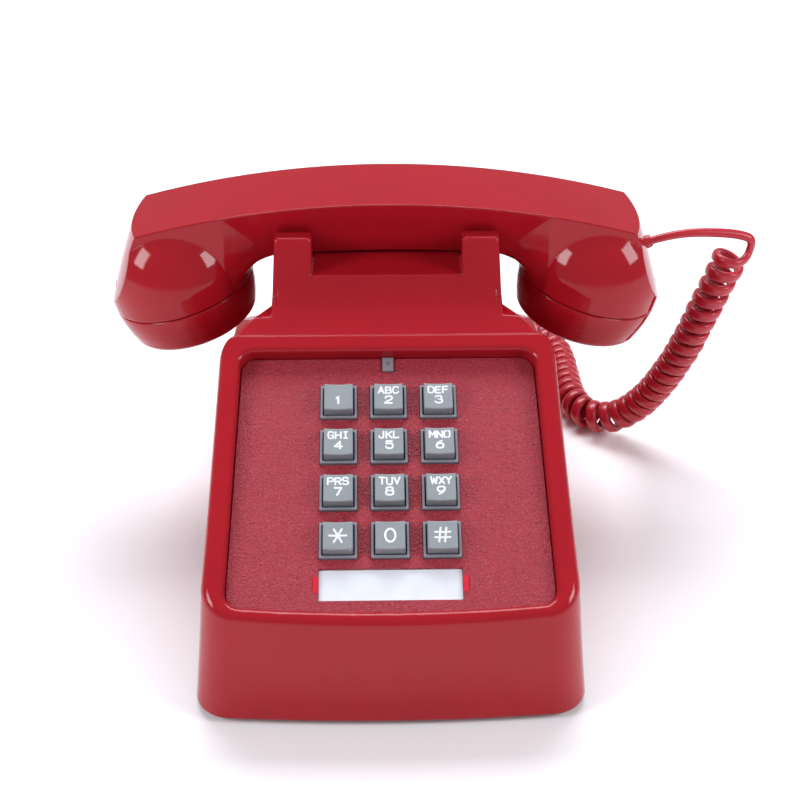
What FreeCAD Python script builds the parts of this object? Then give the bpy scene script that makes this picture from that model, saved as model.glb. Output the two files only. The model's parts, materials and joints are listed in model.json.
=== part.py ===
import FreeCAD, Part
import math
import os

# Push-button desk telephone: wedge-shaped housing with a recessed keypad panel, a four-horned cradle,
# a separate handset, a curly handset cord, and the hookswitch, keypad and bell ringer inside.
# Millimetres. X across, +Y to the rear, +Z up. The solids are built from the front bottom edge and moved at export,
# so that the origin is at the centre of the footprint, on the surface that the feet stand on.

V = FreeCAD.Vector
os.makedirs("parts", exist_ok=True)

# driving dimensions
DEPTH = 214.0            # housing, front to rear
SHIFT_Y = -DEPTH / 2
BASE_Z = 3.0             # lower edge of the housing above the table
BASE_HALF = 73.2         # half width at the lower edge
MID_HALF = 68.8          # half width at the front edge of the panel
TOP_HALF = 64.6          # half width at the top of the panel
BOW = 2.2                # the front face bows forward by this much
WALL = 2.8
TILT = 27.0              # keypad panel above the horizontal
KEY_Y, KEY_Z = 60.9, 72.4   # centre of the key grid on the panel plane
PITCH = 19.05
KEY = 11.3               # key top
COLLAR = 14.0            # square collar round each key
COLLAR_IN = 12.1
KEY_TRAVEL = 3.0
PANEL_TOP_S, PANEL_BOT_S = 48.1, -56.0
PANEL_TOP_HALF, PANEL_BOT_HALF = 56.6, 59.4
RIM_BOT, RIM_TOP = 3.0, 7.0   # rim above the panel plane at its lower and upper end
RIM_BOT_S, RIM_TOP_S = -62.0, 55.0
HORN_IN, HORN_OUT = 29.6, 45.2
HORN_TOP = 131.8
CRADLE_Y = 157.0         # centre of the handset's handle
FLOOR_MID = 118.5        # cradle floor between the horns
FLOOR_HORN = 116.6       # cradle floor between a front and a rear horn
HS_TOP = 143.6           # top of the handset's back
HS_R = 372.0             # arch of the back
HS_UNDER = 120.2
HS_UNDER_R = 650.0
BACK_HALF = 18.6
HS_END = 103.5           # end of the flat back
CUP_X, CUP_Z = 84.9, 98.4   # centre of the seam between a cup and its cap
CUP_R = 29.9
CUP_TILT = 14.5
DOME_U = 7.6             # the dome's centre above the seam
CAP_LEN = 17.2
PLUNGER_X = 37.4
PLUNGER_R = 3.2
PLUNGER_TRAVEL = 6.0
LIFT = 90.0
WIRE_D = 3.2
COIL_D = 15.8

c27, s27 = math.cos(math.radians(TILT)), math.sin(math.radians(TILT))


def on_panel(shape):
    """Moves a shape from the panel's own frame (X, up the slope, outward) to the row frame."""
    s = shape.copy()
    s.rotate(V(0, 0, 0), V(1, 0, 0), TILT)
    s.translate(V(0, KEY_Y, KEY_Z))
    return s


def pt(s, n):
    return (KEY_Y + s * c27 - n * s27, KEY_Z + s * s27 + n * c27)


def box(x0, x1, y0, y1, z0, z1):
    return Part.makeBox(x1 - x0, y1 - y0, z1 - z0, V(x0, y0, z0))


def poly_wire(points):
    return Part.makePolygon([V(*p) for p in points] + [V(*points[0])])


def prism_x(yz, x0, x1):
    f = Part.Face(poly_wire([(x0, y, z) for y, z in yz]))
    return f.extrude(V(x1 - x0, 0, 0))


def prism_z(xy, z0, z1):
    f = Part.Face(poly_wire([(x, y, z0) for x, y in xy]))
    return f.extrude(V(0, 0, z1 - z0))


def cyl(r, h, p, d=(0, 0, 1)):
    return Part.makeCylinder(r, h, V(*p), V(*d))


def round_rect(half, y0, y1, z, r0, r1, bow0, bow1):
    """Closed outline at height z: a front and a rear edge that bow outward by bow0 and bow1, corners of radius r0 and r1."""
    def corner(a, b, c, r):
        p, q, s = V(*a), V(*b), V(*c)
        u, w = (p - q).normalize(), (s - q).normalize()
        half_a = u.getAngle(w) / 2
        t = r / math.tan(half_a)
        mid = q + (u + w).normalize() * (r / math.sin(half_a) - r)
        return q + u * t, mid, q + w * t
    yf, yr = y0 + bow0, y1 - bow1
    A, B, C, D = (-half, yf, z), (half, yf, z), (half, yr, z), (-half, yr, z)
    b0, b1, b2 = corner(A, B, C, r0)
    c0, c1, c2 = corner(B, C, D, r1)
    d0, d1, d2 = corner(C, D, A, r1)
    a0, a1, a2 = corner(D, A, B, r0)
    edges = [
        Part.Arc(a2, V(0, y0, z), b0).toShape(),
        Part.Arc(b0, b1, b2).toShape(),
        Part.LineSegment(b2, c0).toShape(),
        Part.Arc(c0, c1, c2).toShape(),
        Part.Arc(c2, V(0, y1, z), d0).toShape(),
        Part.Arc(d0, d1, d2).toShape(),
        Part.LineSegment(d2, a0).toShape(),
        Part.Arc(a0, a1, a2).toShape(),
    ]
    return Part.Wire(edges)


def main_block(inset=0.0):
    i = inset
    ws = [
        round_rect(BASE_HALF - i, 0 + i, DEPTH - i, BASE_Z - (3 if i else 0), 14 - i, 17 - i, BOW, 2.0),
        round_rect(MID_HALF - i, 4.9 + i, 210.5 - i, 46.0, 13 - i, 17 - i, BOW, 2.0),
        round_rect(TOP_HALF - i, 13.5 + i, 200.0 - i, 112.0, 12 - i, 17 - i, BOW, 2.0),
    ]
    return Part.makeLoft(ws, True, False)


def try_fillet(shape, edges, r, name):
    edges = [e for e in edges if e.Length > 0.5]
    if not edges:
        print("fillet", name, "no edges")
        return shape
    try:
        out = shape.makeFillet(r, edges)
        if out.isValid() and out.Volume > 0 and len(out.Solids) == len(shape.Solids):
            return out
    except Exception as e:
        pass
    done = shape
    ok = 0
    for e in edges:
        mid = e.valueAt((e.FirstParameter + e.LastParameter) / 2)
        near = [x for x in done.Edges if x.Length > 0.5 and x.valueAt((x.FirstParameter + x.LastParameter) / 2).distanceToPoint(mid) < 0.6]
        if not near:
            continue
        try:
            o = done.makeFillet(r, near[:1])
            if o.isValid() and o.Volume > 0 and len(o.Solids) == len(done.Solids):
                done = o
                ok += 1
        except Exception:
            pass
    print("fillet", name, "one by one:", ok, "of", len(edges))
    return done


def mid_of(e):
    return e.valueAt((e.FirstParameter + e.LastParameter) / 2)


def solid_of(shape):
    sol = shape.Solids
    return max(sol, key=lambda s: s.Volume) if sol else shape


# rim plane end points (y, z)
RB = pt(RIM_BOT_S, RIM_BOT)
RT = pt(RIM_TOP_S, RIM_TOP)
rim_slope = (RT[1] - RB[1]) / (RT[0] - RB[0])


def rim_z(y):
    return RB[1] + (y - RB[0]) * rim_slope


# ---------------- housing ----------------
A_PROFILE = [(-10, 0), (-10, rim_z(-10)), RT, (RT[0] + 1.4, RT[1] - 0.5), (124.0, 73.0), (150.0, 68.5), (196.0, 56.0), (230, 44), (230, 0)]
NECK_CREASE = (124.0, 110.6)
HORN_F = (132.4, HORN_TOP + 0.4)
HORN_B = (139.4, HORN_TOP)
REAR_HORN_B = (2 * CRADLE_Y - 139.4, HORN_TOP)
REAR_HORN_F = (2 * CRADLE_Y - 132.4, HORN_TOP + 0.4)
B_PROFILE = [(102, 30), (102, rim_z(102) - 0.4), (RT[0] + 0.2, RT[1] - 0.1), NECK_CREASE, HORN_F, HORN_B,
             REAR_HORN_B, REAR_HORN_F, (188.5, 112.0), (196.0, 60.0), (200, 30)]
B_PLAN = [(-59.5, 102), (59.5, 102), (59.6, RT[0] - 0.6), (HORN_OUT + 0.6, 126.0), (HORN_OUT + 0.4, 205), (-HORN_OUT - 0.4, 205), (-HORN_OUT - 0.6, 126.0), (-59.6, RT[0] - 0.6)]


NECK_R = 13.0           # the neck sweeps up into the horns on this radius


def neck_wedge(x0, x1):
    """The filling that rounds the crease between the neck and the horns."""
    P = [V(x0, y, z) for y, z in B_PROFILE]
    k = B_PROFILE.index(NECK_CREASE)
    a, c, b = P[k - 1], P[k], P[k + 1]
    u, w = (a - c).normalize(), (b - c).normalize()
    half = u.getAngle(w) / 2
    t = NECK_R / math.tan(half)
    m = c + (u + w).normalize() * (NECK_R / math.sin(half) - NECK_R)
    p, q = c + u * t, c + w * t
    deep = c - (u + w).normalize() * 1.0
    edges = [Part.LineSegment(q, deep).toShape(), Part.LineSegment(deep, p).toShape(), Part.Arc(p, m, q).toShape()]
    return Part.Face(Part.Wire(edges)).extrude(V(x1 - x0, 0, 0))


def make_outer():
    a = main_block().common(prism_x(A_PROFILE, -100, 100))
    # outer edge of the rim: the front edge, the two long sides and the corners between
    E = []
    for e in a.Edges:
        m = mid_of(e)
        if m.y < 106 and abs(m.z - rim_z(m.y)) < 0.8 and (abs(m.x) > 50 or m.y < 20) and e.Length > 3:
            E.append(e)
    a = try_fillet(a, E, 4.0, "rim outside")
    b = prism_z(B_PLAN, 30, 140).common(prism_x(B_PROFILE, -80, 80))
    # horns narrow a little towards their tops
    lim = Part.Face(poly_wire([(-75, 90, 20), (75, 90, 20), (75, 90, 106), (HORN_OUT + 0.5, 90, 107), (HORN_OUT - 1.4, 90, 140), (-HORN_OUT + 1.4, 90, 140), (-HORN_OUT - 0.5, 90, 107), (-75, 90, 106)])).extrude(V(0, 130, 0))
    b = b.common(lim)
    # the rim's rear corners are round in plan
    rc, px, py = 9.5, 65.3 - 9.5, RT[0] + 0.9 - 9.5
    for sx in (-1, 1):
        x0, x1 = (px, px + 22) if sx > 0 else (-px - 22, -px)
        cut = box(x0, x1, py, RT[0] + 16.0, 76, 130).cut(cyl(rc, 80, (sx * px, py, 60)))
        a = a.cut(cut)
    o = solid_of(a.fuse(b))
    # trough across the cradle
    h = 157.0
    trough = [(139.4, 136), (139.4, HORN_TOP), (143.2, FLOOR_HORN), (2 * h - 143.2, FLOOR_HORN), (2 * h - 139.4, HORN_TOP), (2 * h - 139.4, 136)]
    o = o.cut(prism_x(trough, -90, 90))
    # open between the two front horns and between the two rear horns
    o = o.cut(box(-HORN_IN, HORN_IN, 120, 200, FLOOR_MID, 140))
    # floor between the horns stands a little higher than the floor beside them
    pad = prism_x([(139, 100), (139, FLOOR_MID), (175, FLOOR_MID), (175, 100)], -HORN_IN, HORN_IN)
    o = o.fuse(pad.common(prism_x(B_PROFILE, -80, 80)))
    return solid_of(o.removeSplitter())


outer = make_outer()
print("outer", outer.isValid(), round(outer.Volume))

# rounded edges of the horns, neck and rear
E = []
for e in outer.Edges:
    m = mid_of(e)
    if m.z > 119.5 and e.Length > 2:
        E.append(e)
outer = try_fillet(outer, E, 1.6, "horns")
outer = solid_of(outer.fuse(neck_wedge(-HORN_OUT + 1.6, HORN_OUT - 1.6)).removeSplitter())
E = [e for e in outer.Edges if 46 < abs(mid_of(e).x) < 60 and 112 < mid_of(e).y < 125.5 and mid_of(e).z > 98.5 and e.Length > 8]
outer = try_fillet(outer, E, 2.0, "shoulder diagonals")

# recess for the panel
cl = 0.35
re_top, re_bot = PANEL_TOP_S + cl, PANEL_BOT_S - cl
ht, hb = PANEL_TOP_HALF + cl, PANEL_BOT_HALF + cl


def panel_outline(top_s, bot_s, half_t, half_b, bow, r, n):
    """Closed outline of the panel in its own frame, lower edge bowed toward the user."""
    def corner(a, b, c, rr):
        p, q, s = V(*a), V(*b), V(*c)
        u, w = (p - q).normalize(), (s - q).normalize()
        ha = u.getAngle(w) / 2
        t = rr / math.tan(ha)
        return q + u * t, q + (u + w).normalize() * (rr / math.sin(ha) - rr), q + w * t
    A, B, C, D = (-half_b, bot_s + bow, n), (half_b, bot_s + bow, n), (half_t, top_s, n), (-half_t, top_s, n)
    b, c, d, a = corner(A, B, C, r), corner(B, C, D, r), corner(C, D, A, r), corner(D, A, B, r)
    e = [
        Part.Arc(a[2], V(0, bot_s, n), b[0]).toShape(), Part.Arc(*b).toShape(),
        Part.LineSegment(b[2], c[0]).toShape(), Part.Arc(*c).toShape(),
        Part.LineSegment(c[2], d[0]).toShape(), Part.Arc(*d).toShape(),
        Part.LineSegment(d[2], a[0]).toShape(), Part.Arc(*a).toShape(),
    ]
    return Part.Wire(e)


recess = Part.Face(panel_outline(re_top, re_bot, ht, hb, 2.0, 6.0, -2.6)).extrude(V(0, 0, 30))
outer = outer.cut(on_panel(recess))
E = []
for e in outer.Edges:
    m = mid_of(e)
    if 3 < m.y < 106 and abs(m.z - rim_z(m.y)) < 0.7 and abs(m.x) < 60.5 and e.Length > 3:
        # inner edge of the rim
        E.append(e)
E = [e for e in E if not (mid_of(e).y > 104.5 and abs(mid_of(e).x) < 40)]
outer = try_fillet(outer, E, 2.2, "rim inside")
outer = solid_of(outer)
print("outer with recess", outer.isValid(), round(outer.Volume))

# inside
i_top = [(WALL, -20), (WALL, 42), pt(-54, -5.4), pt(52, -5.4), (112, 99), (124.5, 104.5), (132.8, FLOOR_HORN - WALL - 0.6), (181.2, FLOOR_HORN - WALL - 0.6), (185.4, 111), (191.4, 80), (191.4, -20)]
inA_profile = [(-10, -20), (-10, pt(-66, -5.4)[1]), pt(-60, -5.4), pt(50, -5.4), (109, 96.0), (124.0, 69.5), (150, 65.2), (196, 52.6), (230, 40), (230, -20)]
inner = main_block(WALL).common(prism_x(inA_profile, -100, 100))
inB_profile = [(90, 30), (90, pt(32, -5.4)[1]), pt(50, -5.4), (111, 99.0), (124.6, 106.0), (130.2, 113.0), (183.8, 113.0), (186.0, 107), (192.6, 62), (197, 30)]
inB_plan = [(-57, 88), (57, 88), (57, 106), (HORN_OUT - WALL, 122.5), (HORN_OUT - WALL, 202), (-HORN_OUT + WALL, 202), (-HORN_OUT + WALL, 122.5), (-57, 106)]
inB = prism_z(inB_plan, 30, 140).common(prism_x(inB_profile, -80, 80))
inner = inner.fuse(inB)
# finger recess under the cradle, open to the rear, with its own walls
FIN = dict(x=36.0, y=166.0, z0=74.0, z1=99.0)
fin_prof = [(FIN["y"], FIN["z0"] + 4), (FIN["y"], FIN["z1"] - 4), (FIN["y"] + 4, FIN["z1"]), (215, FIN["z1"] + 6), (215, FIN["z0"] - 6), (FIN["y"] + 4, FIN["z0"])]
finger = prism_x(fin_prof, -FIN["x"], FIN["x"])
fw = [(FIN["y"] - WALL, FIN["z0"] + 3), (FIN["y"] - WALL, FIN["z1"] - 3), (FIN["y"] + 3, FIN["z1"] + WALL), (215, FIN["z1"] + WALL + 6), (215, FIN["z0"] - WALL - 6), (FIN["y"] + 3, FIN["z0"] - WALL)]
inner = inner.cut(prism_x(fw, -FIN["x"] - WALL, FIN["x"] + WALL))
housing = outer.cut(inner)
housing = housing.cut(finger)
# opening under the panel for the keypad
housing = housing.cut(on_panel(Part.makeBox(62, 84, 20, V(-31, -38.5, -12))))
# plunger guides
for sx in (-1, 1):
    housing = housing.cut(cyl(PLUNGER_R + 0.35, 14, (sx * PLUNGER_X, CRADLE_Y, 108)))
# modular jack cut-outs in the rear wall
JACK_X, JACK_Z = 40.0, 15.5
for sx in (-1, 1):
    housing = housing.cut(box(sx * JACK_X - 7.3, sx * JACK_X + 7.3, 195, 230, JACK_Z - 7.0, JACK_Z + 7.0))
# screw posts
for sx in (-1, 1):
    for y, zt in ((20.0, 46.6), (190.0, 55.8)):
        post = cyl(4.5, zt - 6.2, (sx * 56.0, y, 6.2)).cut(cyl(1.6, 16, (sx * 56.0, y, 6.0)))
        housing = housing.fuse(post)
housing = solid_of(housing.removeSplitter())
print("housing", housing.isValid(), round(housing.Volume), len(housing.Faces))

parts = {}
parts["housing"] = housing

# ---------------- panel, label ----------------
face = Part.Face(panel_outline(PANEL_TOP_S, PANEL_BOT_S, PANEL_TOP_HALF, PANEL_BOT_HALF, 2.0, 5.6, -2.5)).extrude(V(0, 0, 2.5))
cols = (-PITCH, 0.0, PITCH)
rows = (1.5 * PITCH, 0.5 * PITCH, -0.5 * PITCH, -1.5 * PITCH)
for x in cols:
    for s in rows:
        hole = Part.makeBox(COLLAR + 0.4, COLLAR + 0.4, 6, V(x - COLLAR / 2 - 0.2, s - COLLAR / 2 - 0.2, -4))
        face = face.cut(hole)
LAB_S, LAB_W, LAB_H = -45.35, 52.4, 12.2
face = face.cut(Part.makeBox(LAB_W, LAB_H, 3, V(-LAB_W / 2, LAB_S - LAB_H / 2, -1.5)))
face = face.cut(Part.makeBox(LAB_W + 4.4, 5.2, 3, V(-LAB_W / 2 - 2.2, LAB_S - 2.6, -1.0)))
TAB_W, TAB_H, TAB_S = 4.4, 6.0, 45.3
face = face.cut(Part.makeBox(TAB_W + 0.5, TAB_H + 3, 6, V(-TAB_W / 2 - 0.25, TAB_S - TAB_H / 2 - 0.2, -3)))
parts["keypad_panel"] = on_panel(face)
card = Part.makeBox(LAB_W - 0.4, LAB_H - 0.4, 0.4, V(-LAB_W / 2 + 0.2, LAB_S - LAB_H / 2 + 0.2, -1.5))
card = card.fuse(Part.makeBox(LAB_W + 0.6, 5.0, 0.4, V(-LAB_W / 2 - 0.3, LAB_S - 2.5, -1.0))) if False else card
parts["number_card"] = on_panel(card)
win = Part.makeBox(LAB_W - 0.3, LAB_H - 0.3, 1.0, V(-LAB_W / 2 + 0.15, LAB_S - LAB_H / 2 + 0.15, -1.08))
win = win.fuse(Part.makeBox(LAB_W + 0.9, 4.9, 0.9, V(-LAB_W / 2 - 0.45, LAB_S - 2.45, -0.98))).removeSplitter()
win = try_fillet(win, [e for e in win.Edges if mid_of(e).z > -0.1], 0.25, "card window")
parts["number_card_window"] = on_panel(win)
tab = Part.makeBox(TAB_W, TAB_H, 3.4, V(-TAB_W / 2, TAB_S - TAB_H / 2, -2.4))
tab = try_fillet(tab, [e for e in tab.Edges if mid_of(e).z > 0.9], 0.4, "panel catch")
tab = tab.cut(cyl(0.75, 2, (0, TAB_S + 0.2, 0.55)))
parts["panel_catch"] = on_panel(tab)

# ---------------- keypad ----------------
KF = Part.makeBox(60.5, 82.5, 2.2, V(-30.25, -37.75, -4.9))
for x in cols:
    for s in rows:
        col = Part.makeBox(COLLAR, COLLAR, 6.4, V(x - COLLAR / 2, s - COLLAR / 2, -4.9))
        col = try_fillet(col, [e for e in col.Edges if mid_of(e).z > 1.4], 0.35, "collar")
        KF = KF.fuse(col)
for x in cols:
    for s in rows:
        KF = KF.cut(Part.makeBox(COLLAR_IN, COLLAR_IN, 12, V(x - COLLAR_IN / 2, s - COLLAR_IN / 2, -8)))
parts["keypad_frame"] = on_panel(solid_of(KF.removeSplitter()))

names = [["key_1", "key_2", "key_3"], ["key_4", "key_5", "key_6"], ["key_7", "key_8", "key_9"], ["key_star", "key_0", "key_hash"]]
for r, s in enumerate(rows):
    for c, x in enumerate(cols):
        h = KEY / 2
        low = Part.makePolygon([V(-h, -h, -5.2), V(h, -h, -5.2), V(h, h, -5.2), V(-h, h, -5.2), V(-h, -h, -5.2)])
        g = h - 0.22
        high = Part.makePolygon([V(-g, -g, 6.1), V(g, -g, 6.1), V(g, g, 6.1), V(-g, g, 6.1), V(-g, -g, 6.1)])
        k = Part.makeLoft([low, high], True, True)
        # finger dish: a shallow trough that runs from front to back
        k = k.cut(Part.makeCylinder(22.0, 30, V(0, -15, 5.40 + 22.0), V(0, 1, 0)))
        k = k.makeChamfer(0.25, [e for e in k.Edges if mid_of(e).z > 4.6])
        k = k.fuse(Part.makeBox(13.2, 13.2, 1.3, V(-6.6, -6.6, -6.5))).fuse(cyl(2.0, 1.6, (0, 0, -7.9))).removeSplitter()
        k.translate(V(x, s, 0))
        parts[names[r][c]] = on_panel(solid_of(k))

mat = Part.makeBox(60, 82, 1.0, V(-30, -37.5, -13.2))
for x in cols:
    for s in rows:
        mat = mat.fuse(Part.makeCone(4.2, 2.6, 1.1, V(x, s, -12.25)))
parts["keypad_dome_mat"] = on_panel(solid_of(mat.removeSplitter()))
parts["keypad_board"] = on_panel(Part.makeBox(60.5, 82.5, 1.6, V(-30.25, -37.75, -14.85)))
# side rails that hold frame, mat and board together
rails = []
for sx in (-1, 1):
    rl = Part.makeBox(2.0, 70, 11.9, V(sx * 31.4 - 1.0, -31.5, -17.4))
    rl = rl.fuse(Part.makeBox(5.0, 70, 1.6, V(sx * 31.4 - (1.0 if sx > 0 else 4.0) - (3.0 if sx > 0 else -0.0), -31.5, -17.4)))
    rails.append(solid_of(rl.removeSplitter()))
parts["keypad_rails"] = on_panel(Part.makeCompound(rails))

# ---------------- base ----------------
bp = Part.Face(round_rect(BASE_HALF - WALL - 0.8, WALL + 0.8, DEPTH - WALL - 0.8, 4.2, 10.5, 13.5, BOW, 2.0)).extrude(V(0, 0, 1.6))
FEET = [(-52, 24), (52, 24), (-52, 186), (52, 186)]
SCREWS = [(-56, 20), (56, 20), (-56, 190), (56, 190)]
FEET = [(-44, 30), (44, 30), (-44, 180), (44, 180)]
for x, y in FEET:
    bp = bp.cut(cyl(3.1, 6, (x, y, 2)))
for x, y in SCREWS:
    bp = bp.cut(cyl(2.2, 6, (x, y, 2)))
# sound slots under the ringer
for k in range(-3, 4):
    bp = bp.cut(box(k * 7.0 - 1.2, k * 7.0 + 1.2, 118, 140, 2, 8))
parts["base_plate"] = solid_of(bp)
feet = []
for x, y in FEET:
    f = cyl(8.0, 4.15, (x, y, 0))
    f = try_fillet(f, [e for e in f.Edges if mid_of(e).z < 0.1], 0.9, "foot")
    f = f.fuse(cyl(3.0, 2.2, (x, y, 4.0))).fuse(Part.makeCone(4.1, 3.0, 1.6, V(x, y, 5.85))).removeSplitter()
    feet.append(solid_of(f))
parts["rubber_feet"] = Part.makeCompound(feet)
scr = []
for x, y in SCREWS:
    s = cyl(3.6, 1.5, (x, y, 2.65)).cut(box(x - 3.0, x + 3.0, y - 0.4, y + 0.4, 2.0, 3.3))
    s = s.fuse(cyl(1.55, 12.0, (x, y, 4.1))).removeSplitter()
    scr.append(solid_of(s))
parts["housing_screws"] = Part.makeCompound(scr)

# ---------------- hookswitch ----------------
for sx, nm in ((-1, "hook_plunger_left"), (1, "hook_plunger_right")):
    z_top = HS_UNDER - (PLUNGER_X ** 2) / (2 * HS_UNDER_R) - 0.35
    p = cyl(PLUNGER_R, z_top - 99.0, (sx * PLUNGER_X, CRADLE_Y, 99.0))
    p = try_fillet(p, [e for e in p.Edges if mid_of(e).z > z_top - 0.1], 1.2, "plunger")
    p = p.fuse(cyl(4.6, 1.6, (sx * PLUNGER_X, CRADLE_Y, 103.0)))
    p = p.fuse(Part.makeSphere(PLUNGER_R - 0.01, V(sx * PLUNGER_X, CRADLE_Y, 99.0))).removeSplitter()
    parts[nm] = solid_of(p)
LEV_Y, LEV_Z = 127.0, 94.0
lev = cyl(3.0, 88, (-44 + 0.0, LEV_Y, LEV_Z), (1, 0, 0)).common(box(-41.0, 41.0, 100, 200, 50, 130))
arm_y1 = CRADLE_Y + 4.5
for sx in (-1, 1):
    lev = lev.fuse(box(sx * PLUNGER_X - 3.0, sx * PLUNGER_X + 3.0, LEV_Y, arm_y1, 93.4, 95.0))
lev = lev.fuse(box(-38, 38, LEV_Y + 1, LEV_Y + 7, 93.4, 95.0))
lev = lev.cut(cyl(1.62, 100, (-50, LEV_Y, LEV_Z), (1, 0, 0))).removeSplitter()
parts["hookswitch_lever"] = solid_of(lev)
parts["hookswitch_pin"] = cyl(1.58, 92, (-46, LEV_Y, LEV_Z), (1, 0, 0)).common(box(-42.2, 42.2, 100, 200, 50, 130))
br = []
for sx in (-1, 1):
    pl = box(sx * 41.7 - 0.5, sx * 41.7 + 0.5, LEV_Y - 6, LEV_Y + 2.6, 5.85, 99.0)
    pl = pl.fuse(box(min(sx * 41.7, sx * 30.0), max(sx * 41.7, sx * 30.0), LEV_Y - 6, LEV_Y + 2.6, 5.85, 7.2))
    pl = pl.cut(cyl(1.6, 10, (sx * 41.7 - 5, LEV_Y, LEV_Z), (1, 0, 0)))
    br.append(solid_of(pl.removeSplitter()))
parts["hookswitch_bracket"] = Part.makeCompound(br)
# contact stack that the lever's cross bar works
st = box(-9, 9, 112.0, 120.0, 84.0, 99.0)
st = box(-9, 9, 108.5, 118.0, 80.0, 93.0)
for k in range(3):
    st = st.fuse(box(-7 + 5 * k, -4 + 5 * k, 118.0, 123.2, 84.0 + 0.0, 84.4))
parts["hookswitch_contacts"] = solid_of(st.removeSplitter())

# ---------------- ringer ----------------
for sx, nm, r in ((-1, "gong_left", 26.0), (1, "gong_right", 25.0)):
    cx, cy, z0 = sx * (5.2 + r), 155.0, 22.0
    prof = [V(0, 0, z0 + 16.0), V(6.0, 0, z0 + 16.0)]
    w = Part.Wire([
        Part.LineSegment(V(2.1, 0, z0 + 16.0), V(6.0, 0, z0 + 16.0)).toShape(),
        Part.Arc(V(6.0, 0, z0 + 16.0), V(r - 5.5, 0, z0 + 10.5), V(r, 0, z0)).toShape(),
        Part.LineSegment(V(r, 0, z0), V(r - 1.3, 0, z0)).toShape(),
        Part.Arc(V(r - 1.3, 0, z0), V(r - 6.5, 0, z0 + 9.3), V(6.0, 0, z0 + 14.6)).toShape(),
        Part.LineSegment(V(6.0, 0, z0 + 14.6), V(2.1, 0, z0 + 14.6)).toShape(),
        Part.LineSegment(V(2.1, 0, z0 + 14.6), V(2.1, 0, z0 + 16.0)).toShape(),
    ])
    g = Part.Face(w).revolve(V(0, 0, 0), V(0, 0, 1), 360)
    g.translate(V(cx, cy, 0))
    parts[nm] = solid_of(g)
posts, gscr = [], []
for sx, r in ((-1, 26.0), (1, 25.0)):
    cx = sx * (5.2 + r)
    posts.append(cyl(3.5, 36.45 - 5.85, (cx, 155.0, 5.85)).cut(cyl(1.5, 20, (cx, 155.0, 26.0))))
    s = cyl(3.4, 2.2, (cx, 155.0, 38.1)).cut(box(cx - 3, cx + 3, 154.5, 155.5, 39.5, 42)).fuse(cyl(1.45, 12.0, (cx, 155.0, 26.4)))
    gscr.append(solid_of(s.removeSplitter()))
parts["gong_posts"] = Part.makeCompound(posts)
parts["gong_screws"] = Part.makeCompound(gscr)
# electromagnet with its clapper between the gongs
RY = 189.0
coil = cyl(9.0, 34.0, (-17.0, RY + 0.0, 25.0), (1, 0, 0))
bob = cyl(10.5, 1.4, (-18.4, RY, 25.0), (1, 0, 0)).fuse(cyl(10.5, 1.4, (17.0, RY, 25.0), (1, 0, 0))).fuse(cyl(4.5, 36.0, (-18.0, RY, 25.0), (1, 0, 0)))
parts["ringer_coil"] = solid_of(coil.cut(cyl(4.5, 40, (-20, RY, 25.0), (1, 0, 0))))
parts["ringer_bobbin"] = solid_of(bob.cut(cyl(3.1, 50, (-25, RY, 25.0), (1, 0, 0))).removeSplitter())
fr = cyl(3.0, 44.0, (-22.0, RY, 25.0), (1, 0, 0))
for sx in (-1, 1):
    fr = fr.fuse(box(sx * 21.0 - 1.2, sx * 21.0 + 1.2, RY - 6, RY + 6, 5.85, 31.0))
fr = fr.fuse(box(-22.2, 22.2, RY - 6.0, RY + 6.0, 5.85, 8.0))
fr = fr.fuse(box(-5.0, 5.0, RY - 16.0, RY - 5.0, 5.85, 8.0)).fuse(cyl(1.4, 20.0, (0, RY - 14.0, 7.0))).fuse(cyl(2.6, 9.9, (0, RY - 14.0, 7.0)))
parts["ringer_frame"] = solid_of(fr.removeSplitter())
CL_Y = RY - 14.0
ar = cyl(3.2, 6.0, (0, CL_Y, 17.0)).fuse(box(-1.0, 1.0, 152.0, CL_Y - 2.6, 22.0, 23.4)).fuse(box(-1.0, 1.0, CL_Y - 3.1, CL_Y - 2.0, 19.0, 23.4))
ar = ar.fuse(Part.makeSphere(3.0, V(0, 151.0, 22.7)))
ar = ar.fuse(box(-9.5, 9.5, CL_Y + 1.2, CL_Y + 3.0, 17.0, 21.0)).cut(cyl(1.45, 40, (0, CL_Y, 0))).removeSplitter()
parts["ringer_clapper"] = solid_of(ar)
# volume wheel under the base, reached from below
VW = (-58.0, 120.0)
# ---------------- network ----------------
nb = box(-44, 44, 34, 98, 11.5, 13.1)
for x, y in ((-40, 38), (40, 38), (-40, 94), (40, 94)):
    nb = nb.cut(cyl(1.7, 10, (x, y, 8)))
parts["network_board"] = solid_of(nb)
comp = [box(-38, -18, 44, 66, 13.1, 29.0), cyl(6.5, 20.0, (0, 46, 19.7), (0, 1, 0)), box(14, 34, 46, 60, 13.1, 23.0), cyl(4.5, 12.0, (-26, 82, 13.1)), cyl(4.5, 12.0, (-12, 82, 13.1)), box(6, 36, 74, 88, 13.1, 19.0)]
parts["network_components"] = Part.makeCompound(comp)
sp = []
for x, y in ((-40, 38), (40, 38), (-40, 94), (40, 94)):
    sp.append(solid_of(cyl(3.2, 5.65, (x, y, 5.85)).fuse(cyl(1.6, 2.6, (x, y, 11.4))).fuse(cyl(2.6, 1.2, (x, y, 13.15))).removeSplitter()))
parts["board_standoffs"] = Part.makeCompound(sp)


# ---------------- jacks ----------------
def jack(cx, w, h):
    j = box(cx - 7.0, cx + 7.0, 196.0, 211.2, JACK_Z - 6.7, JACK_Z + 6.7)
    j = j.cut(box(cx - w / 2, cx + w / 2, 199.0, 215.0, JACK_Z - h / 2, JACK_Z + h / 2))
    j = j.cut(box(cx - 1.7, cx + 1.7, 199.0, 215.0, JACK_Z - h / 2 - 1.9, JACK_Z))
    j = j.fuse(box(cx - 6.0, cx + 6.0, 196.0, 206.0, 5.85, JACK_Z - 6.6))
    return solid_of(j.removeSplitter())


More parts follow.
